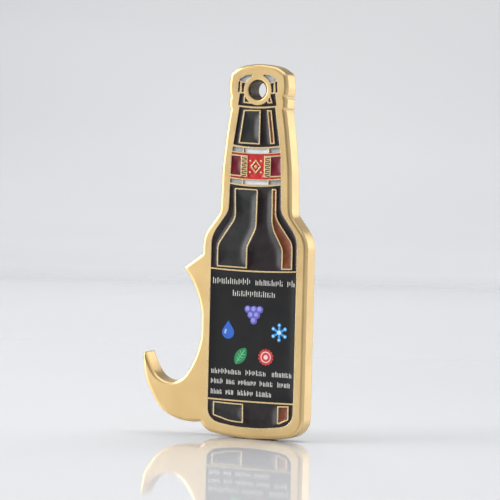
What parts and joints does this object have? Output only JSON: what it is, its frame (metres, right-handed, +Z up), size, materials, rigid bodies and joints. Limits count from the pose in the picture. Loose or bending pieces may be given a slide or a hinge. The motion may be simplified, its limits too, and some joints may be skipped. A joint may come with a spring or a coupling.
{
  "type": "bottle opener",
  "caption": "Flat keepsake bottle opener: gold-plated bottle-shaped casting with a hook-and-tooth claw on one edge, enamelled front, printed label and a keyring bore at the top.",
  "frame": {"origin": "centre of the keyring bore, midway between the front and back faces", "axes": "+Z up the bottle towards its cap, -Y out of the enamelled front face, +X towards the edge away from the claw"},
  "size_m": [0.0466, 0.006, 0.0964],
  "materials": {
    "gold_plating": "satin",
    "black_enamel": "gloss",
    "grey_enamel": "gloss",
    "amber_enamel": "gloss",
    "silver_enamel": "gloss",
    "white_enamel": "gloss",
    "red_enamel": "gloss",
    "dark_red_enamel": "gloss",
    "label_enamel": "satin",
    "white_ink": "satin",
    "violet_ink": "satin",
    "blue_ink": "satin",
    "sky_ink": "satin",
    "green_ink": "satin",
    "red_ink": "satin"
  },
  "bodies": {
    "root": {"casting": "gold_plating", "cap_crescent_left": "silver_enamel", "cap_crescent_right": "silver_enamel", "cap_slot_outer_left": "black_enamel", "cap_slot_inner_left": "black_enamel", "cap_slot_inner_right": "black_enamel", "cap_slot_outer_right": "black_enamel", "collar_field": "black_enamel", "collar_cell_left": "grey_enamel", "collar_cell_right": "amber_enamel", "neck_field": "black_enamel", "neck_panel": "grey_enamel", "neck_amber_strip": "amber_enamel", "upper_band_left": "silver_enamel", "upper_band_middle": "white_enamel", "upper_band_right": "silver_enamel", "red_middle": "red_enamel", "dark_red_left": "dark_red_enamel", "dark_red_right": "dark_red_enamel", "lower_band_left": "silver_enamel", "lower_band_middle": "white_enamel", "lower_band_right": "silver_enamel", "shoulder_field": "black_enamel", "shoulder_panel": "grey_enamel", "shoulder_amber_panel": "amber_enamel", "label_enamel": "label_enamel", "foot_field": "black_enamel", "foot_panel": "grey_enamel", "foot_amber_panel": "amber_enamel", "heading_print": "white_ink", "footnote_print": "white_ink", "grape_print": "violet_ink", "drop_print": "blue_ink", "crystal_print": "sky_ink", "leaf_print": "green_ink", "crown_print": "red_ink"}
  },
  "joints": []
}
